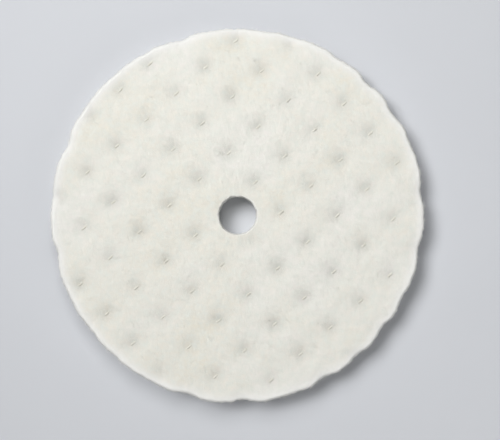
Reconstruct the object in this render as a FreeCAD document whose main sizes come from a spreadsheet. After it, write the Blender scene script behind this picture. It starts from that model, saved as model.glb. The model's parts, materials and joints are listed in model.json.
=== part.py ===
import FreeCAD, Part
import math
import os
import Sketcher

# A felt polishing wheel: four felt plies held together by thread ties on a square grid.
# The wheel lies flat, working face up. The origin is on the bore axis at the rear face.
# Every tie pulls a dimple into both faces. The wheel is die-cut from a sheet that is
# already tied, so the grid isn't centred on the bore and the rim is notched where it
# runs through a dimple. Lengths are in millimetres.

V = FreeCAD.Vector
UP = V(0, 0, 1)

doc = FreeCAD.newDocument("FeltPolishingWheel")

# ---------------------------------------------------------------- driving dimensions

SIZES = [
    ("wheel_diameter", "152.4", "across the rim"),
    ("arbor_diameter", "15.875", "spindle that the wheel is clamped on"),
    ("arbor_clearance", "0.0625", "gap all round between spindle and bore"),
    ("ply_thickness", "3.175", "one felt ply"),
    ("edge_round", "1.2", "rounding of the rim on the two outer plies"),
    ("tack_pitch", "16.33", "grid spacing of the ties, the same both ways"),
    ("grid_angle", "41.5", "direction of the tie rows, degrees from +X"),
    ("shift_along", "-1.91", "tie nearest the bore, measured along its row"),
    ("shift_across", "5.32", "tie nearest the bore, measured across its row"),
    ("dimple_radius", "4.3", "dimple at the face"),
    ("dimple_depth", "1.8", "dimple below the face"),
    ("cut_margin", "4.0", "ties nearer than this to rim or bore are cut away"),
    ("notch_depth", "1.2", "deepest that a cut dimple notches the rim"),
    ("notch_reach", "2.0", "a dimple this far inside the rim still notches it"),
    ("thread_diameter", "0.8", "tie thread"),
    ("thread_bend", "0.5", "corner of the thread loop, at its middle line"),
    ("leg_spacing", "2.4", "between the two legs of a tie"),
    ("needle_clearance", "0.05", "gap all round between a leg and its hole"),
    ("thread_lift", "0.25", "between a dimple's floor and the bar or knot in it"),
    ("knot_diameter", "1.4", "knot in the rear dimple"),
]

sheet = doc.addObject("Spreadsheet::Sheet", "Sizes")
for line, (alias, value, note) in enumerate(SIZES, start=1):
    sheet.set(f"A{line}", note)
    sheet.set(f"B{line}", value)
    sheet.setAlias(f"B{line}", alias)
doc.recompute()

PLIES = ["back_felt", "core_felt_rear", "core_felt_front", "face_felt"]

# Lengths worked out from the sheet, as expressions.
RIM = "Sizes.wheel_diameter / 2"
BORE = "(Sizes.arbor_diameter / 2 + Sizes.arbor_clearance)"
THICKNESS = f"({len(PLIES)} * Sizes.ply_thickness)"
BALL = "((Sizes.dimple_radius ^ 2 + Sizes.dimple_depth ^ 2) / (2 * Sizes.dimple_depth))"
FACE_BAR = f"({THICKNESS} / 2 - Sizes.dimple_depth + Sizes.thread_lift + Sizes.thread_diameter / 2)"
REAR_BAR = f"({THICKNESS} / 2 - Sizes.dimple_depth + Sizes.thread_lift + Sizes.knot_diameter / 2)"
LEG_HOLE = "Sizes.thread_diameter / 2 + Sizes.needle_clearance"


# ---------------------------------------------------------------- the grid of ties

rim_radius = sheet.wheel_diameter / 2
bore_radius = sheet.arbor_diameter / 2 + sheet.arbor_clearance
grid_reach = math.ceil((rim_radius + sheet.dimple_radius) / sheet.tack_pitch) + 1
grid_steps = range(-grid_reach, grid_reach + 1)


def grid_place(column, row):
    """Place of one grid point, along and across the tie rows, before they are turned."""
    along = sheet.shift_along + column * sheet.tack_pitch
    across = sheet.shift_across + row * sheet.tack_pitch
    return along, across


def from_axis(column, row):
    """Distance of one grid point from the bore axis."""
    return math.hypot(*grid_place(column, row))


def grid_points(nearest, furthest):
    """Grid points, as (column, row), between two distances from the bore axis."""
    return [(column, row) for row in grid_steps for column in grid_steps
            if nearest <= from_axis(column, row) <= furthest]


tied = grid_points(bore_radius + sheet.cut_margin, rim_radius - sheet.cut_margin)
dimpled = grid_points(0, rim_radius + sheet.dimple_radius)
notched = grid_points(rim_radius - sheet.notch_reach, rim_radius + sheet.dimple_radius)


def copies_on_grid(name, original, points, height):
    """A compound of links to one object, one at each grid point, turned to the rows."""
    links = []
    for column, row in points:
        link = doc.addObject("App::Link", f"{name}_copy")
        link.LinkedObject = original
        link.setExpression("Placement.Base.x", f"Sizes.shift_along + {column} * Sizes.tack_pitch")
        link.setExpression("Placement.Base.y", f"Sizes.shift_across + {row} * Sizes.tack_pitch")
        link.setExpression("Placement.Base.z", height)
        links.append(link)
    compound = doc.addObject("Part::Compound", name)
    compound.Links = links
    compound.Placement = FreeCAD.Placement(V(), FreeCAD.Rotation(UP, sheet.grid_angle))
    compound.setExpression("Placement.Rotation.Angle", "Sizes.grid_angle")
    return compound


# ---------------------------------------------------------------- sketch helpers

def origin_plane(body, role):
    return next(item for item in body.Origin.OriginFeatures if item.Role == role)


def new_sketch(body, name, role):
    sketch = body.newObject("Sketcher::SketchObject", name)
    sketch.AttachmentSupport = (origin_plane(body, role), [""])
    sketch.MapMode = "FlatFace"
    return sketch


def size_constraint(sketch, constraint, name, expression):
    """Adds a named dimension to a sketch and binds it to the sheet."""
    index = sketch.addConstraint(constraint)
    sketch.renameConstraint(index, name)
    sketch.setExpression(f"Constraints.{name}", expression)


def circle_about_axis(sketch, name, radius, expression):
    edge = sketch.addGeometry(Part.Circle(V(), UP, radius), False)
    sketch.addConstraint(Sketcher.Constraint("Coincident", edge, 3, -1, 1))
    size_constraint(sketch, Sketcher.Constraint("Radius", edge, radius), name, expression)


# ---------------------------------------------------------------- felt plies

def rim_edge(feature, height):
    """Name of the rim's circular edge at one height."""
    for index, edge in enumerate(feature.Shape.Edges, start=1):
        flat = edge.BoundBox.ZLength < 1e-6 and abs(edge.BoundBox.ZMin - height) < 1e-6
        if flat and abs(edge.Curve.Radius - rim_radius) < 1e-6:
            return f"Edge{index}"
    raise RuntimeError("the ply has no rim edge at that height")


def ply_blank(name, rounded_at):
    """A flat felt washer, with its rim rounded at one height where one is given."""
    body = doc.addObject("PartDesign::Body", f"{name}_blank")
    outline = new_sketch(body, f"{name}_outline", "XY_Plane")
    circle_about_axis(outline, "rim", rim_radius, RIM)
    circle_about_axis(outline, "bore", bore_radius, BORE)
    pad = body.newObject("PartDesign::Pad", f"{name}_pad")
    pad.Profile = outline
    pad.setExpression("Length", "Sizes.ply_thickness")
    doc.recompute()
    if rounded_at is not None:
        fillet = body.newObject("PartDesign::Fillet", f"{name}_rim_round")
        fillet.Base = (pad, [rim_edge(pad, rounded_at)])
        fillet.setExpression("Radius", "Sizes.edge_round")
        doc.recompute()
    body.setExpression("Placement.Base.z", f"{PLIES.index(name)} * Sizes.ply_thickness")
    return body


def cut(name, base, tool):
    result = doc.addObject("Part::Cut", name)
    result.Base = base
    result.Tool = tool
    return result


def dimple_balls(name, height):
    """Balls that sink a round dimple into one face, at every grid point they reach."""
    ball = doc.addObject("Part::Sphere", f"{name}_ball")
    ball.setExpression("Radius", BALL)
    return copies_on_grid(name, ball, dimpled, height)


def needle_holes():
    """The two leg holes of each tie, straight through all the plies."""
    legs = []
    for side in (-1, 1):
        leg = doc.addObject("Part::Cylinder", "needle_hole")
        leg.setExpression("Radius", LEG_HOLE)
        leg.setExpression("Height", THICKNESS)
        leg.setExpression("Placement.Base.x", f"{side} * Sizes.leg_spacing / 2")
        legs.append(leg)
    pair = doc.addObject("Part::Compound", "needle_hole_pair")
    pair.Links = legs
    return copies_on_grid("needle_holes", pair, tied, "0")


def rim_notches():
    """Upright rods that notch the rim where it runs through or close by a dimple."""
    # A dimple centred inside the rim notches it no deeper than notch_depth.
    shallowest = rim_radius + sheet.dimple_radius - sheet.notch_depth
    rods = []
    for column, row in notched:
        rod = doc.addObject("Part::Cylinder", "notch_rod")
        rod.setExpression("Radius", "Sizes.dimple_radius")
        rod.setExpression("Height", THICKNESS)
        along, across = grid_place(column, row)
        outward = max(1, shallowest / from_axis(column, row))
        rod.Placement = FreeCAD.Placement(V(along * outward, across * outward, 0), FreeCAD.Rotation())
        rods.append(rod)
    notches = doc.addObject("Part::Compound", "rim_notches")
    notches.Links = rods
    notches.Placement = FreeCAD.Placement(V(), FreeCAD.Rotation(UP, sheet.grid_angle))
    notches.setExpression("Placement.Rotation.Angle", "Sizes.grid_angle")
    return notches


notches = rim_notches()
holes = needle_holes()
dimples = {
    "back_felt": dimple_balls("back_dimples", f"Sizes.dimple_depth - {BALL}"),
    "face_felt": dimple_balls("face_dimples", f"{THICKNESS} - Sizes.dimple_depth + {BALL}"),
}
rounded_at = {"back_felt": 0, "face_felt": sheet.ply_thickness}

parts = []
for name in PLIES:
    ply = cut(f"{name}_notched", ply_blank(name, rounded_at.get(name)), notches)
    if name in dimples:
        ply = cut(f"{name}_dimpled", ply, dimples[name])
    ply = cut(name, ply, holes)
    parts.append(ply)


# ---------------------------------------------------------------- thread ties

def tie_piece(kind, name, x, z, turn, **sizes):
    """One length, corner or knot of a tie, with its sizes and its place bound to the sheet."""
    piece = doc.addObject(kind, name)
    piece.Placement = FreeCAD.Placement(V(), turn)
    piece.setExpression("Placement.Base.x", x)
    piece.setExpression("Placement.Base.z", z)
    for size, expression in sizes.items():
        piece.setExpression(size, expression)
    return piece


def thread_tie():
    """One tie about the middle of the thickness: two legs, two bars, four corners and a knot."""
    upright = FreeCAD.Rotation()
    lying = FreeCAD.Rotation(V(0, 1, 0), 90)
    on_edge = FreeCAD.Rotation(V(1, 0, 0), 90)
    thread = "Sizes.thread_diameter / 2"
    reach = "(Sizes.leg_spacing / 2 - Sizes.thread_bend)"
    pieces = []
    for side in (-1, 1):
        pieces.append(tie_piece(
            "Part::Cylinder", "tie_leg", f"{side} * Sizes.leg_spacing / 2",
            f"Sizes.thread_bend - {REAR_BAR}", upright, Radius=thread,
            Height=f"{FACE_BAR} + {REAR_BAR} - 2 * Sizes.thread_bend"))
    for level in (FACE_BAR, f"-{REAR_BAR}"):
        pieces.append(tie_piece(
            "Part::Cylinder", "tie_bar", f"-{reach}", level, lying,
            Radius=thread, Height=f"2 * {reach}"))
    quarters = [
        (reach, f"{FACE_BAR} - Sizes.thread_bend"),
        (f"-{reach}", f"{FACE_BAR} - Sizes.thread_bend"),
        (f"-{reach}", f"Sizes.thread_bend - {REAR_BAR}"),
        (reach, f"Sizes.thread_bend - {REAR_BAR}"),
    ]
    for quarter, (x, z) in enumerate(quarters):
        turn = on_edge * FreeCAD.Rotation(UP, 90 * quarter)
        corner = tie_piece("Part::Torus", "tie_corner", x, z, turn,
                           Radius1="Sizes.thread_bend", Radius2=thread)
        corner.Angle3 = 90
        pieces.append(corner)
    # The ball's seam is turned away from the bar, so the two fuse along plain circles.
    pieces.append(tie_piece("Part::Sphere", "tie_knot", "0", f"-{REAR_BAR}",
                            FreeCAD.Rotation(UP, 90), Radius="Sizes.knot_diameter / 2"))
    tie = doc.addObject("Part::MultiFuse", "thread_tie")
    tie.Shapes = pieces
    return tie


# The ties are grouped by the row they were sewn in, counted across the wheel. Rows
# further out than the third from the bore's row share the outermost group.
OUTERMOST = 3
tie = thread_tie()
for group in range(-OUTERMOST, OUTERMOST + 1):
    members = [point for point in tied if max(-OUTERMOST, min(OUTERMOST, point[1])) == group]
    parts.append(copies_on_grid(f"tack_row_{group + OUTERMOST + 1}", tie, members, f"{THICKNESS} / 2"))


# ---------------------------------------------------------------- checks and files

doc.recompute()
for item in doc.Objects:
    if "Invalid" in item.State or "Error" in item.State:
        raise RuntimeError(f"{item.Name} failed: {item.State}")
for part in parts:
    part.Label = part.Name
    if part.Shape.isNull() or not part.Shape.isValid():
        raise RuntimeError(f"{part.Label} has no valid shape")

os.makedirs("parts", exist_ok=True)
for part in parts:
    solids = len(part.Shape.Solids)
    box = part.Shape.BoundBox
    part.Shape.exportStep(f"parts/{part.Label}.step")
    print(f"{part.Label}: {solids} solids, {part.Shape.Volume:.1f} mm3, "
          f"x {box.XMin:.2f} to {box.XMax:.2f}, y {box.YMin:.2f} to {box.YMax:.2f}, "
          f"z {box.ZMin:.2f} to {box.ZMax:.2f}")
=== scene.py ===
import json
import math
import bpy
import numpy as np
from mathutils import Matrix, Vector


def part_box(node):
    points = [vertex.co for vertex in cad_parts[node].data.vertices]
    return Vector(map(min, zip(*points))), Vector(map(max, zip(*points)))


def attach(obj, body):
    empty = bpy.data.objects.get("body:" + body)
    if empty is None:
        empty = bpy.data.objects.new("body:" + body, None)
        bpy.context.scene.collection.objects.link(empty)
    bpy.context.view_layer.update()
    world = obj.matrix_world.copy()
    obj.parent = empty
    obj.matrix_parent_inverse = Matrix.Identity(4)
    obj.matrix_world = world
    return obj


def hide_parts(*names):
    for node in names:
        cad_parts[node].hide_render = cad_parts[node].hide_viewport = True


# Felt polishing wheel: four felt plies clamped by thread ties on a square grid.
# Lengths are in metres; mm turns millimetres into metres.
mm = 0.001

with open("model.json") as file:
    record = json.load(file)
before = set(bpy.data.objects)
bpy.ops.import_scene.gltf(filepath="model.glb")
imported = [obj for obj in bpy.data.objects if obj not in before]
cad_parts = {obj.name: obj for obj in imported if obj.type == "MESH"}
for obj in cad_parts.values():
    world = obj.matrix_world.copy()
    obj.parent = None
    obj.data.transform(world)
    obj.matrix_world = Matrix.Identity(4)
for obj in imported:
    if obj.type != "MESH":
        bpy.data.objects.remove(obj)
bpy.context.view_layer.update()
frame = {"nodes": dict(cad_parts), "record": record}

wheelLow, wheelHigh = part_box("face_felt")
rimMean = (wheelHigh.x - wheelLow.x) / 2
thickness = wheelHigh.z
boreMount = next(m for m in frame["record"]["mounts"] if m["name"] == "arbor_bore")
boreRadius = boreMount["dims"]["r_mm"] * mm
tieNodes = sorted(name for name in frame["nodes"] if name.startswith("tack_row"))


# where the ties are

def nodePoints(name):
    # all vertices of one CAD node, as an array of points
    mesh = frame["nodes"][name].data
    points = np.empty(len(mesh.vertices) * 3)
    mesh.vertices.foreach_get("co", points)
    return points.reshape(-1, 3)


tieAcross = 4 * mm               # more than a tie's width, and less than the gap between two


def length(offsets):
    # how long each of many flat offsets is
    return np.hypot(offsets[..., 0], offsets[..., 1])


def tieCentres(name):
    # the middle of each tie in a row: points nearer than a tie's width belong together
    flat = nodePoints(name)[:, :2]
    centres = []
    while len(flat):
        own = length(flat - flat[0]) < tieAcross
        centres.append((flat[own].min(0) + flat[own].max(0)) / 2)
        flat = flat[~own]
    return np.array(centres)


tiesOf = {name: tieCentres(name) for name in tieNodes}
allTies = np.concatenate(list(tiesOf.values()))
firstTie = nodePoints(tieNodes[0])[:, :2]
firstTie = firstTie[length(firstTie - tiesOf[tieNodes[0]][0]) < tieAcross]
spread = np.linalg.svd(firstTie - firstTie.mean(0), full_matrices=False)[2]
rowWay = spread[0] * np.sign(spread[0][0])     # along a row: the way that a tie's two legs lie apart
crossWay = np.array([-rowWay[1], rowWay[0]])
gaps = length(allTies[:, None] - allTies[None])
tiePitch = gaps[gaps > mm].min()
gridStart = allTies[np.argmin(length(allTies))]


def wholeGrid(furthest):
    # every grid point that the sheet was tied at before the wheel was cut out of it
    most = math.ceil(furthest / tiePitch) + 1
    steps = np.arange(-most, most + 1)
    along, across = np.meshgrid(steps, steps)
    points = gridStart + tiePitch * (along.reshape(-1, 1) * rowWay + across.reshape(-1, 1) * crossWay)
    return points[length(points) < furthest]


gridPoints = wholeGrid(rimMean + 12 * mm)
print("grid:", len(allTies), "ties,", len(gridPoints), "dimples, pitch", round(tiePitch / mm, 2), "mm")


# the shape of the felt

felt = {
    "dimpleDepth": 1.15 * mm,    # below the face at a tie
    "uneven": (0.68, 1.30),      # how far one dimple is from the next in depth
    "oval": 0.14,                # how far a dimple is out of round, at most
    "dimpleWide": 4.0 * mm,      # how far the wide part of a dimple reaches
    "slotAlong": 1.9 * mm,       # the thread pulls a slot into the dimple, along its row
    "slotAcross": 1.15 * mm,
    "slotShare": 0.22,           # of the depth
    "pressedReach": 3.1 * mm,    # how far the painted shade in a dimple reaches from its tie
    "outerFade": 0.22,           # dimples at the rim are this much weaker than at the middle
    "crown": 0.35 * mm,          # the pillow between four ties
    "cutLeft": 0.45,             # share of the depth left where the bore cut the tie away
    "boreCuts": 4 * mm,          # ties nearer than this to the bore are cut away
    "backShare": 0.85,           # rear dimples against front ones
    "backCrown": 0.6,            # rear pillows against front ones
    "faceRoll": 0.10 * mm,       # slow unevenness of the working face
    "plyWander": 0.09 * mm,      # and of the seams between plies
    "seed": 7,
}
dice = np.random.default_rng(felt["seed"])
tied = length(gridPoints[:, None] - allTies[None]).min(1) < mm
nearBore = length(gridPoints) < boreRadius + felt["boreCuts"]
dimpleScale = dice.uniform(*felt["uneven"], len(gridPoints))
dimpleScale *= np.where(tied | ~nearBore, 1, felt["cutLeft"])
dimpleScale *= 1.1 - felt["outerFade"] * length(gridPoints) / rimMean
dimpleOval = dice.uniform(0, felt["oval"], len(gridPoints))
dimpleTurn = dice.uniform(0, math.tau, len(gridPoints))


def waves(x, y, wavelength, seed, count=22):
    # unit-strength irregular ripple: a sum of plane waves in random directions
    roll = np.random.default_rng(seed)
    heading = roll.uniform(0, math.tau, count)
    size = math.tau / (wavelength * roll.uniform(0.7, 1.4, count))
    phase = roll.uniform(0, math.tau, count)
    total = np.zeros_like(x)
    for way, step, start in zip(heading, size, phase):
        total += np.cos(step * (x * math.cos(way) + y * math.sin(way)) + start)
    return total * math.sqrt(2 / count)


def hollow(x, y):
    # depth of the dimples: at each grid point a wide bell, slightly oval, and a slot-shaped one
    depth = np.zeros_like(x)
    for (px, py), scale, oval, turn in zip(gridPoints, dimpleScale, dimpleOval, dimpleTurn):
        dx, dy = x - px, y - py
        away = np.hypot(dx, dy)
        away = away * (1 + oval * np.cos(2 * (np.arctan2(dy, dx) - turn)))
        along = (dx * rowWay[0] + dy * rowWay[1]) / felt["slotAlong"]
        across = (dx * crossWay[0] + dy * crossWay[1]) / felt["slotAcross"]
        wide = np.exp(-(away / felt["dimpleWide"]) ** 2)
        slot = np.exp(-along ** 2 - across ** 2)
        depth += scale * ((1 - felt["slotShare"]) * wide + felt["slotShare"] * slot)
    return depth * felt["dimpleDepth"]


def paintedDimpleShade(x, y):
    # painted shade in the dimples: from 0 to a little over 1, one bell round each tie
    amount = np.zeros_like(x)
    for (px, py), scale in zip(gridPoints, dimpleScale):
        amount += scale * np.exp(-((x - px) ** 2 + (y - py) ** 2) / felt["pressedReach"] ** 2)
    return amount


def crown(x, y):
    # pillow height: nothing at a grid point and most in the middle of four
    a = ((x - gridStart[0]) * rowWay[0] + (y - gridStart[1]) * rowWay[1]) / tiePitch
    b = ((x - gridStart[0]) * crossWay[0] + (y - gridStart[1]) * crossWay[1]) / tiePitch
    return felt["crown"] * (0.5 - 0.25 * np.cos(math.tau * a) - 0.25 * np.cos(math.tau * b))


def feltLevel(x, y, level):
    # carries a level in the flat stack to its place between the two dimpled faces
    sunk = hollow(x, y)
    top = thickness + crown(x, y) - sunk + felt["faceRoll"] * waves(x, y, 30 * mm, 11)
    bottom = felt["backShare"] * sunk + felt["backCrown"] * (felt["crown"] - crown(x, y))
    share = level / thickness
    wander = felt["plyWander"] * waves(x, y, 14 * mm, 12) * np.sin(math.pi * share)
    return bottom + (top - bottom) * share + wander


rim = {
    "outOfRound": [(2, 0.29 * mm, 1.95), (3, 0.24 * mm, 1.57)],   # lobes, height, turn
    "biteDepth": 1.35 * mm,      # deepest notch that a cut dimple leaves in the rim
    "biteBeyond": 2.8 * mm,      # a dimple centred this far outside notches it most
    "biteReach": 4.7 * mm,       # how that fades with the dimple's distance
    "biteAlong": 4.5 * mm,       # half the notch's length along the rim
    "plump": 0.75 * mm,          # the rim between notches stands this far out
    "ragged": 0.13 * mm,
}


def rimRadius(angle, ply):
    # the cut edge: a circle with two faint lobes, less a bell-shaped bite at each cut dimple
    radius = np.full_like(angle, rimMean + rim["plump"])
    for lobes, height, way in rim["outOfRound"]:
        radius += height * np.cos(lobes * angle - way)
    for px, py in gridPoints:
        outward = math.hypot(px, py) - rimMean - rim["biteBeyond"]
        strength = math.exp(-(outward / rim["biteReach"]) ** 2)
        turn = (angle - math.atan2(py, px) + math.pi) % math.tau - math.pi
        radius -= rim["biteDepth"] * strength * np.exp(-(turn * rimMean / rim["biteAlong"]) ** 2)
    x, y = rimMean * np.cos(angle), rimMean * np.sin(angle)
    radius += rim["ragged"] * (0.6 * waves(x, y, 6 * mm, 21) + 0.4 * waves(x, y, 2.6 * mm, 22 + ply))
    return radius


def boreEdge(angle, ply):
    # the punched hole: round, with a little tear in each ply
    x, y = boreRadius * np.cos(angle), boreRadius * np.sin(angle)
    return boreRadius + 0.06 * mm * waves(x, y, 4 * mm, 31 + ply)


# mesh helpers

def addMesh(name, points, faces, smooth=True):
    # puts whole arrays of points and quads or triangles into a new mesh object
    mesh = bpy.data.meshes.new(name)
    sides = faces.shape[1]
    mesh.vertices.add(len(points))
    mesh.vertices.foreach_set("co", points.astype(np.float32).ravel())
    mesh.loops.add(faces.size)
    mesh.loops.foreach_set("vertex_index", faces.astype(np.int32).ravel())
    mesh.polygons.add(len(faces))
    mesh.polygons.foreach_set("loop_start", np.arange(0, faces.size, sides, dtype=np.int32))
    mesh.polygons.foreach_set("loop_total", np.full(len(faces), sides, dtype=np.int32))
    mesh.polygons.foreach_set("use_smooth", np.full(len(faces), smooth))
    mesh.update(calc_edges=True)
    piece = bpy.data.objects.new(name, mesh)
    bpy.context.scene.collection.objects.link(piece)
    return piece


def addPointValue(piece, name, values):
    # a number for each point, which the material reads by name
    attribute = piece.data.attributes.new(name, "FLOAT", "POINT")
    attribute.data.foreach_set("value", values.astype(np.float32).ravel())


def ringFaces(rings, around, closedRings):
    # quads between neighbouring rings of points; the last ring may join the first
    bands = rings if closedRings else rings - 1
    ring, spot = np.meshgrid(np.arange(bands), np.arange(around), indexing="ij")
    nextRing = (ring + 1) % rings
    nextSpot = (spot + 1) % around
    quad = [(ring, spot), (nextRing, spot), (nextRing, nextSpot), (ring, nextSpot)]
    return np.stack([r * around + k for r, k in quad], -1).reshape(-1, 4)


def facingOut(points, faces):
    # turns a closed surface's faces over if they enclose a negative volume
    a, b, c = (points[faces[:, k]] for k in (0, 1, 2))
    volume = np.einsum("ij,ij->i", a, np.cross(b, c)).sum()
    if faces.shape[1] == 4:
        d = points[faces[:, 3]]
        volume += np.einsum("ij,ij->i", a, np.cross(c, d)).sum()
    return faces if volume > 0 else faces[:, ::-1]


# felt plies

plySizes = {
    "around": 600,               # points round the wheel
    "outerSteps": 112,           # across a face that shows
    "innerSteps": 27,            # across a face hidden between plies
    "seamRound": 0.42 * mm,      # cut edge beside another ply
    "rimRound": 1.25 * mm,       # cut edge at an outer face
    "boreRound": 0.55 * mm,
    "bulge": 0.16 * mm,          # each ply's cut edge swells between its seams
    "gap": 0.015 * mm,           # half the gap between plies
    "fluffAndHighlightReach": 2.8 * mm,      # how far the loosened felt goes in from the rim: rougher, and whiter with a painted highlight
    "wallRough": 0.09 * mm,      # unevenness of the cut edges
    "coarseNap": 0.045 * mm,     # unevenness of the outer faces
    "fineNap": 0.028 * mm,
}


def plySection(low, high, lowOuter, highOuter):
    # the outline of one ply, cut from bore to rim, as rows of
    # (share of the way to the rim, offset, level, how much it is face, how much it is wall)
    s = plySizes
    rows = []

    def wall(share, bottom, top, outward, steps):
        for level in np.linspace(bottom, top, steps):
            swell = 1 - ((2 * level - low - high) / (high - low)) ** 2
            rows.append((share, outward * s["bulge"] * swell, level, 0, 1))

    def corner(share, level, radius, outward, up, start, stop, facing, steps):
        for part in np.linspace(start, stop, steps + 2)[1:-1]:
            inset = radius * (1 - math.cos(part * math.pi / 2))
            drop = radius * (1 - math.sin(part * math.pi / 2))
            rows.append((share, -outward * inset, level - up * drop, facing * part, 1 - part))

    def face(level, inner, outer, outwards, steps, facing):
        for part in np.linspace(0, 1, steps) if outwards else np.linspace(1, 0, steps):
            rows.append((part, inner * (1 - part) - outer * part, level, facing, 0))

    boreTop = s["boreRound"] if highOuter else s["seamRound"]
    boreLow = s["boreRound"] if lowOuter else s["seamRound"]
    rimTop = s["rimRound"] if highOuter else s["seamRound"]
    rimLow = s["rimRound"] if lowOuter else s["seamRound"]
    wall(0, low + boreLow, high - boreTop, -1, 5)
    corner(0, high, boreTop, -1, 1, 0, 1, highOuter, 3)
    face(high, boreTop, rimTop, True, s["outerSteps"] if highOuter else s["innerSteps"], highOuter)
    corner(1, high, rimTop, 1, 1, 1, 0, highOuter, 6 if highOuter else 3)
    wall(1, high - rimTop, low + rimLow, 1, 6)
    corner(1, low, rimLow, 1, -1, 0, 1, lowOuter, 6 if lowOuter else 3)
    face(low, boreLow, rimLow, False, s["outerSteps"] if lowOuter else s["innerSteps"], lowOuter)
    corner(0, low, boreLow, -1, -1, 1, 0, lowOuter, 3)
    return np.array(rows).T[:, :, None]


def feltPly(name, node, ply, lowOuter, highOuter):
    # a ring-shaped sheet: the section carried round the wheel, between bore and rim
    bottom, top = (corner.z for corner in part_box(node))
    gap = plySizes["gap"]
    low = bottom if lowOuter else bottom + gap
    high = top if highOuter else top - gap
    share, offset, level, facing, walling = plySection(low, high, int(lowOuter), int(highOuter))
    angle = np.linspace(0, math.tau, plySizes["around"], endpoint=False)[None, :]
    radius = boreEdge(angle, ply) * (1 - share) + rimRadius(angle, ply) * share + offset
    x, y = radius * np.cos(angle), radius * np.sin(angle)
    rough = plySizes["wallRough"] * waves(x + 0.9 * level, y - 0.8 * level, 2.4 * mm, 41 + ply)
    radius = radius + walling * rough * (2 * share - 1)
    x, y = radius * np.cos(angle), radius * np.sin(angle)
    z = feltLevel(x, y, level + 0 * x)
    nap = plySizes["coarseNap"] * waves(x, y, 5.5 * mm, 51 + ply)
    nap = nap + plySizes["fineNap"] * waves(x, y, 2.1 * mm, 61 + ply)
    z = z + facing * nap * np.where(level > thickness / 2, 1, -1)
    z = np.maximum(z, 0)
    points = np.stack([x, y, z], -1).reshape(-1, 3)
    faces = facingOut(points, ringFaces(share.shape[0], plySizes["around"], True))
    piece = addMesh(name, points, faces)
    # painted shade in the dimples, carried by the outer faces
    addPointValue(piece, "pressed", paintedDimpleShade(x, y) * facing)
    # the cut edges and a band in from the rim: rougher, and whiter, partly cut fibre and partly painted
    # highlight
    fromRim = rimRadius(angle, ply) - np.hypot(x, y)
    fluff = np.exp(-(fromRim / plySizes["fluffAndHighlightReach"]) ** 2)
    addPointValue(piece, "cutEdge", np.maximum(walling, fluff))
    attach(piece, "root")
    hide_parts(node)
    return piece


plies = [
    feltPly("backFelt", "back_felt", 0, True, False),
    feltPly("coreFeltRear", "core_felt_rear", 1, False, False),
    feltPly("coreFeltFront", "core_felt_front", 2, False, False),
    feltPly("faceFelt", "face_felt", 3, False, True),
]
print("felt plies made:", [len(p.data.polygons) for p in plies])


# thread ties

thread = {
    "strands": 3,
    "strandRadius": 0.21 * mm,
    "layRadius": 0.20 * mm,      # strands lie this far from the thread's middle
    "layPitch": 2.4 * mm,        # one turn of the twist
    "sides": 6,
    "legSpacing": 2.4 * mm,
    "bend": 0.55 * mm,
    "barAbove": 0.14 * mm,       # the bar over the bottom of its dimple
    "knotRing": 0.51 * mm,       # the knot's strand winds round a ring of this radius
    "knotLoop": 0.255 * mm,      # this far out and in
    "knotRise": 0.24 * mm,       # and this far up and down
    "knotRadius": 0.27 * mm,
    "knotHang": 0.55 * mm,       # the knot below the top of its dimple
    "knotClear": 0.62 * mm,      # its middle stays this far above the floor
    "tail": 3.2 * mm,
    "tailStart": 0.5 * mm,
    "tailBow": 0.25,             # how far a tail bends aside, as a share of its length
    "tailClear": 0.3 * mm,       # a tail's middle stays this far off the felt and the floor
}


def tubes(paths, radius, sides, closed, guide):
    # round tubes along many paths at once, as triangles: each ring stands square to its path
    # and starts on the side that guide points to. An open tube's ends are capped.
    many, count = paths.shape[:2]
    ahead = np.roll(paths, -1, 1) - np.roll(paths, 1, 1)
    if not closed:
        ahead[:, 0] = paths[:, 1] - paths[:, 0]
        ahead[:, -1] = paths[:, -1] - paths[:, -2]
    ahead = ahead / np.linalg.norm(ahead, axis=2, keepdims=True)
    side = np.cross(ahead, np.broadcast_to(guide, paths.shape))
    side = side / np.linalg.norm(side, axis=2, keepdims=True)
    up = np.cross(side, ahead)
    around = np.linspace(0, math.tau, sides, endpoint=False)[None, None, :, None]
    reach = np.broadcast_to(radius, (many, count))[:, :, None, None]
    outward = np.cos(around) * side[:, :, None] + np.sin(around) * up[:, :, None]
    points = paths[:, :, None] + reach * outward
    quads = ringFaces(count, sides, closed)
    triangles = [quads[:, [0, 1, 2]], quads[:, [0, 2, 3]]]
    if not closed:
        fan = np.stack([np.zeros(sides - 2, int), np.arange(1, sides - 1), np.arange(2, sides)], -1)
        triangles += [fan, fan[:, ::-1] + (count - 1) * sides]
    one = np.concatenate(triangles)
    faces = one[None] + (np.arange(many) * count * sides)[:, None, None]
    return points.reshape(-1, 3), faces.reshape(-1, 3)


def joined(parts):
    # several sets of points and faces as one
    points = np.concatenate([p for p, f in parts])
    starts = np.cumsum([0] + [len(p) for p, f in parts[:-1]])
    faces = np.concatenate([f + start for (p, f), start in zip(parts, starts)])
    return points, faces


def loopLine(high, low):
    # middle line of a tie, as distance along its row and height: a closed rectangle whose
    # four corners are quarter turns
    half, bend = thread["legSpacing"] / 2 - thread["bend"], thread["bend"]
    centres = [(half, high - bend), (-half, high - bend), (-half, low + bend), (half, low + bend)]
    runs = [5, 9, 5, 9]                    # points between corners: bar, leg, bar, leg
    quarter = np.linspace(0, math.pi / 2, 6)
    corners = []
    for k, centre in enumerate(centres):
        swing = quarter + k * math.pi / 2
        corners.append(np.array(centre) + bend * np.stack([np.cos(swing), np.sin(swing)], -1))
    line = []
    for k, run in enumerate(runs):
        start, stop = corners[k][-1], corners[(k + 1) % 4][0]
        part = np.linspace(0, 1, run + 2)[1:-1, None]
        line += [corners[k], start + (stop - start) * part]
    return np.concatenate(line)


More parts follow.
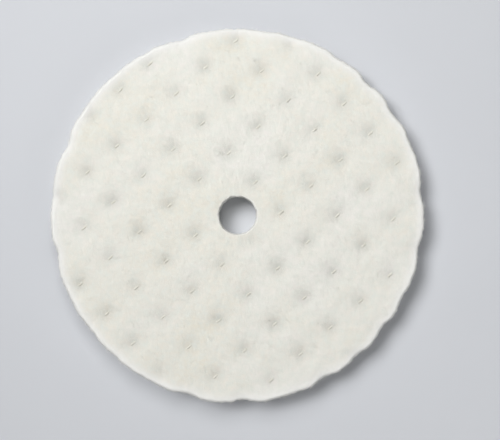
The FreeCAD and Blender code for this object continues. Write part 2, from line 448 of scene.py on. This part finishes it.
def twistedLoop(centre, high, low, start):
    # three strands wound round the middle line of one tie
    line = loopLine(high, low)
    step = np.linalg.norm(np.roll(line, -1, 0) - line, axis=1)
    travelled = np.concatenate([[0], np.cumsum(step)[:-1]])
    turns = round(step.sum() / thread["layPitch"])
    ahead = np.roll(line, -1, 0) - np.roll(line, 1, 0)
    ahead /= np.linalg.norm(ahead, axis=1, keepdims=True)
    rowWay3, crossWay3 = np.append(rowWay, 0), np.append(crossWay, 0)
    middle = np.append(centre, 0) + line[:, :1] * rowWay3 + line[:, 1:] * [0, 0, 1]
    inward = -ahead[:, 1:] * rowWay3 + ahead[:, :1] * [0, 0, 1]
    strands = []
    for strand in range(thread["strands"]):
        swing = math.tau * (turns * travelled / step.sum() + strand / thread["strands"]) + start
        off = np.cos(swing)[:, None] * inward + np.sin(swing)[:, None] * crossWay3
        strands.append(middle + thread["layRadius"] * off)
    return np.array(strands)


def knotParts(centre, height, turn, tailWays):
    # a trefoil on a small ring, lying flat, and two cut tails that curl away from it
    t = np.linspace(0, math.tau, 54, endpoint=False)
    swing, wind = 2 * t + turn, 3 * t
    out = thread["knotRing"] + thread["knotLoop"] * np.cos(wind)
    path = np.stack([out * np.cos(swing), out * np.sin(swing), thread["knotRise"] * np.sin(wind)], -1)
    guide = np.stack([np.cos(wind) * np.cos(swing), np.cos(wind) * np.sin(swing), np.sin(wind)], -1)
    middle = np.array([*centre, height])
    parts = [tubes((path + middle)[None], thread["knotRadius"], thread["sides"], True, guide[None])]
    s = np.linspace(0, 1, 9)
    clear = thread["tailClear"]
    for way in tailWays:
        ahead = np.array([math.cos(way), math.sin(way), 0])
        aside = np.array([-math.sin(way), math.cos(way), 0])
        bow = thread["tail"] * (thread["tailBow"] * np.sin(2.6 * s))[:, None] * aside
        tail = middle + thread["tailStart"] * ahead + thread["tail"] * s[:, None] * ahead + bow
        sunk = feltLevel(tail[:, 0], tail[:, 1], np.zeros_like(s))
        tail[:, 2] = np.maximum(np.minimum(height - 0.35 * mm * s, sunk - clear), clear)
        taper = thread["knotRadius"] * np.where(s > 0.95, 0.6, 1)
        parts.append(tubes(tail[None], taper, thread["sides"], False, np.array([0, 0, 1.0])))
    return parts


def tieRow(name, node):
    # all the ties of one row node: twisted loops with a knot in each rear dimple
    roll = np.random.default_rng([felt["seed"], int(node[-1])])
    parts = []
    for centre in tiesOf[node]:
        x, y = centre[:1], centre[1:]
        faceFloor = feltLevel(x, y, np.array([thickness]))[0]
        rearFloor = feltLevel(x, y, np.array([0.0]))[0]
        high = faceFloor + thread["barAbove"]
        low = max(rearFloor - thread["knotHang"], thread["knotClear"])
        strands = twistedLoop(centre, high, low, roll.uniform(0, math.tau))
        guide = np.append(crossWay, 0)
        parts.append(tubes(strands, thread["strandRadius"], thread["sides"], True, guide))
        tails = roll.uniform(0, math.tau) + np.array([0, roll.uniform(1.8, 3.6)])
        parts += knotParts(centre, low, roll.uniform(0, math.tau), tails)
    points, faces = joined(parts)
    piece = addMesh(name, points, facingOut(points, faces))
    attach(piece, "root")
    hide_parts(node)
    return piece


ties = [tieRow(f"threadTies{k}", node) for k, node in enumerate(tieNodes, start=1)]
print("ties made:", [len(t.data.polygons) for t in ties])


# loose fibres

fuzz = {
    "radius": 0.027 * mm,
    "points": 5,
    "rimCount": 6000,
    "boreCount": 320,
    "edgeLength": (0.5 * mm, 2.0 * mm),
    "aside": 0.55,               # spread of an edge fibre sideways, as a share of its length
    "rise": 0.35,                # and up or down
    "boreShare": 0.55,           # fibres in the bore stand out less
    "rimRoot": 0.25 * mm,        # how deep in the felt they start
    "boreRoot": 0.20 * mm,
    "faceCount": 4200,
    "backCount": 900,
    "faceLength": (2.0 * mm, 5.0 * mm),
    "bow": 0.22,                 # spread of a face fibre's bend, as a share of its length
    "faceLift": 0.06 * mm,
    "seed": 19,
}
fuzzDice = np.random.default_rng(fuzz["seed"])


def edgeFibres(count, atRim):
    # short hairs out of a cut edge: each leaves the edge square to it and curls aside
    s = np.linspace(0, 1, fuzz["points"])[None, :]
    angle = fuzzDice.uniform(0, math.tau, (count, 1))
    level = thickness * fuzzDice.uniform(0.04, 0.985, (count, 1))
    long = fuzzDice.uniform(*fuzz["edgeLength"], (count, 1))
    aside = fuzzDice.normal(0, fuzz["aside"], (count, 1)) * long
    rise = fuzzDice.normal(0, fuzz["rise"], (count, 1)) * long
    if atRim:
        edge, way = rimRadius(angle, 3) - fuzz["rimRoot"], 1
    else:
        edge, way = boreEdge(angle, 3) + fuzz["boreRoot"], -fuzz["boreShare"]
    radius = edge + way * long * (s - 0.3 * s ** 2)
    swing = angle + aside * s ** 1.7 / np.maximum(radius, 1 * mm)
    x, y = radius * np.cos(swing), radius * np.sin(swing)
    root = feltLevel(edge * np.cos(angle), edge * np.sin(angle), level)
    z = np.clip(root + rise * s ** 1.4, 0.1 * mm, thickness + 0.6 * mm)
    return np.stack([x, y, z], -1)


def faceFibres(count, level, outward):
    # long hairs matted down on a face: a bowed line that follows the felt, its ends buried
    s = np.linspace(0, 1, fuzz["points"])[None, :]
    angle = fuzzDice.uniform(0, math.tau, (count, 1))
    inner, outer = boreRadius + 1.5 * mm, rimMean - 2.5 * mm
    radius = np.sqrt(fuzzDice.uniform(inner ** 2, outer ** 2, (count, 1)))
    heading = fuzzDice.uniform(0, math.tau, (count, 1))
    long = fuzzDice.uniform(*fuzz["faceLength"], (count, 1))
    bow = fuzzDice.normal(0, fuzz["bow"], (count, 1)) * long * np.sin(math.pi * s)
    along = long * (s - 0.5)
    x = radius * np.cos(angle) + along * np.cos(heading) - bow * np.sin(heading)
    y = radius * np.sin(angle) + along * np.sin(heading) + bow * np.cos(heading)
    inside = np.clip(np.hypot(x, y), boreRadius + 0.8 * mm, rimMean - 1.6 * mm) / np.hypot(x, y)
    x, y = x * inside, y * inside
    arch = 1.5 * np.sin(math.pi * s) - 0.4
    lift = fuzz["faceLift"] * arch * fuzzDice.uniform(0.5, 1.5, (count, 1))
    z = feltLevel(x, y, level + 0 * x) + outward * lift
    return np.stack([x, y, np.maximum(z, 0.03 * mm)], -1)


def fuzzPiece(name, paths):
    # three-sided tubes that thin towards the tip; the guide only sets where each ring starts
    thin = fuzz["radius"] * np.linspace(1, 0.6, fuzz["points"])
    thin = thin * fuzzDice.uniform(0.7, 1.3, (len(paths), 1))
    points, faces = tubes(paths, thin, 3, False, np.array([0.19, 0.13, 0.97]))
    piece = addMesh(name, points, facingOut(points, faces))
    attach(piece, "root")
    return piece


edgeFuzz = fuzzPiece("edgeFuzz", np.concatenate([
    edgeFibres(fuzz["rimCount"], True),
    edgeFibres(fuzz["boreCount"], False),
]))
faceFuzz = fuzzPiece("faceFuzz", np.concatenate([
    faceFibres(fuzz["faceCount"], thickness, 1),
    faceFibres(fuzz["backCount"], 0, -1),
]))
print("loose fibres made:", len(edgeFuzz.data.polygons), len(faceFuzz.data.polygons))


# materials

def newGroup(name, inputs, outputs):
    # an empty shader group with named sockets; inputs are (name, kind, value)
    tree = bpy.data.node_groups.new(name, "ShaderNodeTree")
    for label, kind, value in inputs:
        socket = tree.interface.new_socket(label, in_out="INPUT", socket_type=f"NodeSocket{kind}")
        if value is not None:
            socket.default_value = value
    for label, kind in outputs:
        tree.interface.new_socket(label, in_out="OUTPUT", socket_type=f"NodeSocket{kind}")
    return tree, tree.nodes.new("NodeGroupInput"), tree.nodes.new("NodeGroupOutput")


def addNode(tree, kind, settings, **inputs):
    # an input is a value, or an output socket to link from; in3 stands for the fourth socket
    node = tree.nodes.new(kind)
    for key, value in settings.items():
        setattr(node, key, value)
    for key, value in inputs.items():
        numbered = key.startswith("in") and key[2:].isdigit()
        socket = node.inputs[int(key[2:]) if numbered else key.replace("_", " ")]
        if isinstance(value, bpy.types.NodeSocket):
            tree.links.new(value, socket)
        else:
            socket.default_value = value
    return node


def groupNode(tree, group, **inputs):
    return addNode(tree, "ShaderNodeGroup", {"node_tree": group}, **inputs)


def mathNode(tree, operation, *values, clamp=False):
    settings = {"operation": operation, "use_clamp": clamp}
    inputs = {f"in{k}": value for k, value in enumerate(values)}
    return addNode(tree, "ShaderNodeMath", settings, **inputs).outputs[0]


def scaledVector(tree, vector, scale):
    node = addNode(tree, "ShaderNodeVectorMath", {"operation": "SCALE"}, in0=vector, Scale=scale)
    return node.outputs[0]


def blend(tree, share, first, second):
    # from the first colour to the second
    mix = addNode(tree, "ShaderNodeMix", {"data_type": "RGBA"}, in0=share, in6=first, in7=second)
    return mix.outputs[2]


def mattedFibreGroup():
    # thin winding lines in three directions, where stretched noise passes through its middle value
    tree, given, result = newGroup(
        "matted fibres",
        [("Place", "Vector", None), ("Fibre Spacing", "Float", 0.5 * mm),
         ("Fibre Width", "Float", 0.05)],
        [("Fibres", "Float"), ("Depth", "Float")])
    size = mathNode(tree, "DIVIDE", 1.0, given.outputs["Fibre Spacing"])
    place = scaledVector(tree, given.outputs["Place"], size)
    lines, fields = [], []
    for turn, shift in ((0.2, 0), (1.25, 17), (2.35, 41)):
        turned = addNode(tree, "ShaderNodeMapping", {}, Vector=place,
                         Location=(shift, shift, 0), Rotation=(0, 0, turn), Scale=(1, 0.16, 0.7))
        noise = addNode(tree, "ShaderNodeTexNoise", {}, Vector=turned.outputs[0], Scale=1.0,
                        Detail=2.0, Roughness=0.55)
        off = mathNode(tree, "ABSOLUTE", mathNode(tree, "SUBTRACT", noise.outputs[0], 0.5))
        near = mathNode(tree, "DIVIDE", off, given.outputs["Fibre Width"])
        lines.append(mathNode(tree, "SUBTRACT", 1.0, near, clamp=True))
        fields.append(noise.outputs[0])
    strongest = mathNode(tree, "MAXIMUM", mathNode(tree, "MAXIMUM", lines[0], lines[1]), lines[2])
    tree.links.new(strongest, result.inputs["Fibres"])
    total = mathNode(tree, "ADD", mathNode(tree, "ADD", fields[0], fields[1]), fields[2])
    tree.links.new(mathNode(tree, "MULTIPLY", total, 1 / 3), result.inputs["Depth"])
    return tree


def cloudyToneGroup():
    # two colours in soft patches of one size, with finer mottling inside them
    tree, given, result = newGroup(
        "cloudy tone",
        [("Place", "Vector", None), ("Patch Size", "Float", 20 * mm), ("First", "Color", None),
         ("Second", "Color", None), ("Contrast", "Float", 1.5)],
        [("Color", "Color"), ("Patches", "Float")])
    size = mathNode(tree, "DIVIDE", 1.0, given.outputs["Patch Size"])
    place = scaledVector(tree, given.outputs["Place"], size)
    noise = addNode(tree, "ShaderNodeTexNoise", {}, Vector=place, Scale=1.0, Detail=4.0, Roughness=0.6)
    off = mathNode(tree, "SUBTRACT", noise.outputs[0], 0.5)
    spread = mathNode(tree, "MULTIPLY", off, given.outputs["Contrast"])
    mask = mathNode(tree, "ADD", spread, 0.5, clamp=True)
    colour = blend(tree, mask, given.outputs["First"], given.outputs["Second"])
    tree.links.new(colour, result.inputs["Color"])
    tree.links.new(mask, result.inputs["Patches"])
    return tree


fibreGroup = mattedFibreGroup()
toneGroup = cloudyToneGroup()


def newMaterial(name):
    material = bpy.data.materials.new(name)
    material.use_nodes = True
    tree = material.node_tree
    tree.nodes.clear()
    shader = tree.nodes.new("ShaderNodeBsdfPrincipled")
    output = tree.nodes.new("ShaderNodeOutputMaterial")
    tree.links.new(shader.outputs[0], output.inputs["Surface"])
    place = tree.nodes.new("ShaderNodeTexCoord").outputs["Object"]
    return material, tree, shader, place


feltLook = {
    "cream": (0.785, 0.750, 0.650, 1),
    "pale": (0.828, 0.808, 0.760, 1),
    "cool": (0.764, 0.774, 0.715, 1),
    "cutEdgeHighlight": (0.965, 0.962, 0.935, 1),   # whiter cut fibre along the rim, strengthened into a painted highlight
    "cutEdgeHighlightShare": 0.9,
    "coreShade": 0.96,           # the inner plies are this much darker, and rougher
    "coreBump": 1.3,
    "patchSize": 26 * mm,
    "patchContrast": 3.0,
    "mottleSize": 3.2 * mm,
    "mottleContrast": 2.8,
    "fibreSpacing": 0.62 * mm,
    "fibreWidth": 0.045,         # as a share of the range of the noise
    "fineSpacing": 0.27 * mm,
    "fineWidth": 0.07,
    "fineShare": 0.7,            # strength of the fine fibres against the coarse ones
    "fibreLight": 1.03,          # brightness on a fibre
    "gapShade": 0.075,           # how much darker the felt is between fibres
    "pressedShade": 0.150,       # and how much darker the painted shade makes each dimple
    "roughness": 0.88,
    "roughSpread": 0.1,
    "lumpBump": 1.2,             # height of the lumps, and of the fibres on them
    "fibreBump": 0.5,
    "cutBump": 2.0,              # how much rougher a cut edge is
    "bump": 0.55,
    "bumpDistance": 0.16 * mm,
    "sheen": 0.40,
    "sheenRoughness": 0.4,
    "sheenTint": (1.0, 0.98, 0.94, 1),
    "shine": 0.15,
}


def shaded(colour, share):
    return tuple(part * share for part in colour[:3]) + (1,)


def feltMaterial(name, shade, bump):
    # patches of cream and pale wool, mottled, under matted fibres that catch the light, with painted
    # shade in the dimples and a painted highlight on the whiter cut edges
    look = feltLook
    material, tree, shader, place = newMaterial(name)
    # pressed carries the painted shade in the dimples
    pressed = addNode(tree, "ShaderNodeAttribute", {"attribute_name": "pressed"}).outputs["Fac"]
    # cutEdge makes the cut edges rougher, and whiter with a painted highlight
    cutEdge = addNode(tree, "ShaderNodeAttribute", {"attribute_name": "cutEdge"}).outputs["Fac"]

    broad = groupNode(tree, toneGroup, Place=place, Patch_Size=look["patchSize"],
                      First=shaded(look["cream"], shade), Second=shaded(look["pale"], shade),
                      Contrast=look["patchContrast"])
    mottled = groupNode(tree, toneGroup, Place=place, Patch_Size=look["mottleSize"],
                        First=shaded(look["cool"], shade), Second=broad.outputs["Color"],
                        Contrast=look["mottleContrast"])
    coarse = groupNode(tree, fibreGroup, Place=place, Fibre_Spacing=look["fibreSpacing"],
                       Fibre_Width=look["fibreWidth"])
    fine = groupNode(tree, fibreGroup, Place=place, Fibre_Spacing=look["fineSpacing"],
                     Fibre_Width=look["fineWidth"])
    fineLines = mathNode(tree, "MULTIPLY", fine.outputs["Fibres"], look["fineShare"])
    lines = mathNode(tree, "MAXIMUM", coarse.outputs["Fibres"], fineLines)

    gaps = mathNode(tree, "MULTIPLY", mathNode(tree, "SUBTRACT", 1.0, lines), look["gapShade"])
    # painted shade: each dimple darker towards its tie
    paintedShadeLoss = mathNode(tree, "MULTIPLY", pressed, look["pressedShade"])
    light = mathNode(tree, "MULTIPLY", mathNode(tree, "SUBTRACT", look["fibreLight"], gaps),
                     mathNode(tree, "SUBTRACT", 1.0, paintedShadeLoss))
    colour = scaledVector(tree, mottled.outputs["Color"], light)
    # painted highlight: whiter along the cut edges and the rim
    cutEdgeHighlightShare = mathNode(tree, "MULTIPLY", cutEdge, look["cutEdgeHighlightShare"])
    whole = blend(tree, cutEdgeHighlightShare, colour, shaded(look["cutEdgeHighlight"], shade))
    tree.links.new(whole, shader.inputs["Base Color"])

    uneven = mathNode(tree, "MULTIPLY", mottled.outputs["Patches"], look["roughSpread"])
    rough = mathNode(tree, "ADD", look["roughness"], uneven)
    tree.links.new(rough, shader.inputs["Roughness"])

    height = mathNode(tree, "ADD", mathNode(tree, "MULTIPLY", lines, look["fibreBump"]),
                      mathNode(tree, "MULTIPLY", coarse.outputs["Depth"], look["lumpBump"]))
    fluff = mathNode(tree, "ADD", 1.0, mathNode(tree, "MULTIPLY", cutEdge, look["cutBump"]))
    relief = addNode(tree, "ShaderNodeBump", {}, Strength=bump, Distance=look["bumpDistance"],
                     Height=mathNode(tree, "MULTIPLY", height, fluff))
    tree.links.new(relief.outputs[0], shader.inputs["Normal"])

    shader.inputs["Sheen Weight"].default_value = look["sheen"]
    shader.inputs["Sheen Roughness"].default_value = look["sheenRoughness"]
    shader.inputs["Sheen Tint"].default_value = look["sheenTint"]
    shader.inputs["Specular IOR Level"].default_value = look["shine"]
    return material


threadLook = {
    "dark": (0.70, 0.68, 0.60, 1),
    "light": (0.79, 0.78, 0.72, 1),
    "patchSize": 1.1 * mm,
    "contrast": 2.5,
    "fibreSpacing": 0.11 * mm,
    "fibreWidth": 0.08,
    "bump": 0.5,
    "bumpDistance": 0.03 * mm,
    "roughness": 0.6,
    "roughSpread": 0.2,
    "sheen": 0.15,
}


def threadMaterial():
    # undyed cotton: a warm off-white with fine fibre and a faint waxed shine
    look = threadLook
    material, tree, shader, place = newMaterial("waxed cotton thread")
    tone = groupNode(tree, toneGroup, Place=place, Patch_Size=look["patchSize"], First=look["dark"],
                     Second=look["light"], Contrast=look["contrast"])
    tree.links.new(tone.outputs["Color"], shader.inputs["Base Color"])
    hairs = groupNode(tree, fibreGroup, Place=place, Fibre_Spacing=look["fibreSpacing"],
                      Fibre_Width=look["fibreWidth"])
    relief = addNode(tree, "ShaderNodeBump", {}, Strength=look["bump"], Distance=look["bumpDistance"],
                     Height=hairs.outputs["Depth"])
    tree.links.new(relief.outputs[0], shader.inputs["Normal"])
    uneven = mathNode(tree, "MULTIPLY", tone.outputs["Patches"], look["roughSpread"])
    tree.links.new(mathNode(tree, "ADD", look["roughness"], uneven), shader.inputs["Roughness"])
    shader.inputs["Sheen Weight"].default_value = look["sheen"]
    return material


fibreLook = {
    "light": (0.93, 0.925, 0.89, 1),
    "patchSize": 5 * mm,
    "contrast": 2.0,
    "roughness": 0.75,
    "sheen": 0.3,
}


def fibreMaterial():
    # loose wool fibre, a little lighter than the felt under it
    look = fibreLook
    material, tree, shader, place = newMaterial("loose wool fibre")
    tone = groupNode(tree, toneGroup, Place=place, Patch_Size=look["patchSize"], First=feltLook["pale"],
                     Second=look["light"], Contrast=look["contrast"])
    tree.links.new(tone.outputs["Color"], shader.inputs["Base Color"])
    shader.inputs["Roughness"].default_value = look["roughness"]
    shader.inputs["Sheen Weight"].default_value = look["sheen"]
    return material


faceMaterial = feltMaterial("pressed wool felt", 1.0, feltLook["bump"])
coreMaterial = feltMaterial("pressed wool felt, core", feltLook["coreShade"],
                            feltLook["bump"] * feltLook["coreBump"])
for piece, material in zip(plies, (faceMaterial, coreMaterial, coreMaterial, faceMaterial)):
    piece.data.materials.append(material)
cotton = threadMaterial()
for piece in ties:
    piece.data.materials.append(cotton)
wool = fibreMaterial()
for piece in (edgeFuzz, faceFuzz):
    piece.data.materials.append(wool)
print("materials made")


# floor, light and camera

studio = {
    "floorColour": (0.605, 0.620, 0.650, 1),
    "floorPale": 1.03,           # its lighter patches
    "floorPatch": 60 * mm,
    "floorSize": 3.0,
    "floorDrop": 0.02 * mm,      # below the wheel, so that the two never share a plane
    "keyTurn": (57, 150),        # degrees above the floor, and round from +X
    "keySoftness": 24,           # degrees across the light as the wheel sees it
    "keyStrength": 1.53,
    "topPlace": (-0.07, 0.17, 0.36),
    "topSize": 0.24,
    "topPower": 0.79,
    "sidePlace": (0.42, -0.48, 0.45),
    "sideSize": 0.60,
    "sidePower": 1.42,
    "skyStrength": 0.107,
    "lens": 85,
    "sensor": 36,
    "frameWidth": 205.6 * mm,    # what the picture spans at the working face
    "aim": (5.12 * mm, -1.92 * mm),
}


def addFloor():
    half = studio["floorSize"] / 2
    sides = [(-half, -half), (half, -half), (half, half), (-half, half)]
    corners = np.array([(x, y, -studio["floorDrop"]) for x, y in sides])
    floor = addMesh("floor", corners, np.array([[0, 1, 2, 3]]), smooth=False)
    material, tree, shader, place = newMaterial("pale grey paper")
    grey = studio["floorColour"]
    tone = groupNode(tree, toneGroup, Place=place, Patch_Size=studio["floorPatch"], First=grey,
                     Second=shaded(grey, studio["floorPale"]), Contrast=1.5)
    tree.links.new(tone.outputs["Color"], shader.inputs["Base Color"])
    shader.inputs["Roughness"].default_value = 0.9
    floor.data.materials.append(material)


def addLight(name, kind, place, strength):
    # a light at a place, turned to face the origin
    lamp = bpy.data.lights.new(name, kind)
    lamp.energy = strength
    light = bpy.data.objects.new(name, lamp)
    bpy.context.scene.collection.objects.link(light)
    light.location = place
    light.visible_camera = False
    x, y, z = place
    light.rotation_euler = (math.atan2(math.hypot(x, y), z), 0, math.atan2(x, -y))
    return lamp


addFloor()
height, turn = (math.radians(angle) for angle in studio["keyTurn"])
keyPlace = (math.cos(height) * math.cos(turn), math.cos(height) * math.sin(turn), math.sin(height))
key = addLight("keyLight", "SUN", keyPlace, studio["keyStrength"])
key.angle = math.radians(studio["keySoftness"])
for where in ("top", "side"):
    soft = addLight(f"{where}Light", "AREA", studio[f"{where}Place"], studio[f"{where}Power"])
    soft.shape = "DISK"
    soft.size = studio[f"{where}Size"]

world = bpy.data.worlds.new("studio")
world.use_nodes = True
sky = world.node_tree.nodes["Background"]
sky.inputs["Color"].default_value = (1, 1, 1, 1)
sky.inputs["Strength"].default_value = studio["skyStrength"]
bpy.context.scene.world = world
bpy.context.scene.view_settings.view_transform = "Standard"

lens = bpy.data.cameras.new("camera")
lens.lens = studio["lens"]
lens.sensor_width = studio["sensor"]
lens.clip_start = 0.01
camera = bpy.data.objects.new("camera", lens)
bpy.context.scene.collection.objects.link(camera)
above = studio["frameWidth"] * studio["lens"] / studio["sensor"]
camera.location = (*studio["aim"], thickness + above)
bpy.context.scene.camera = camera
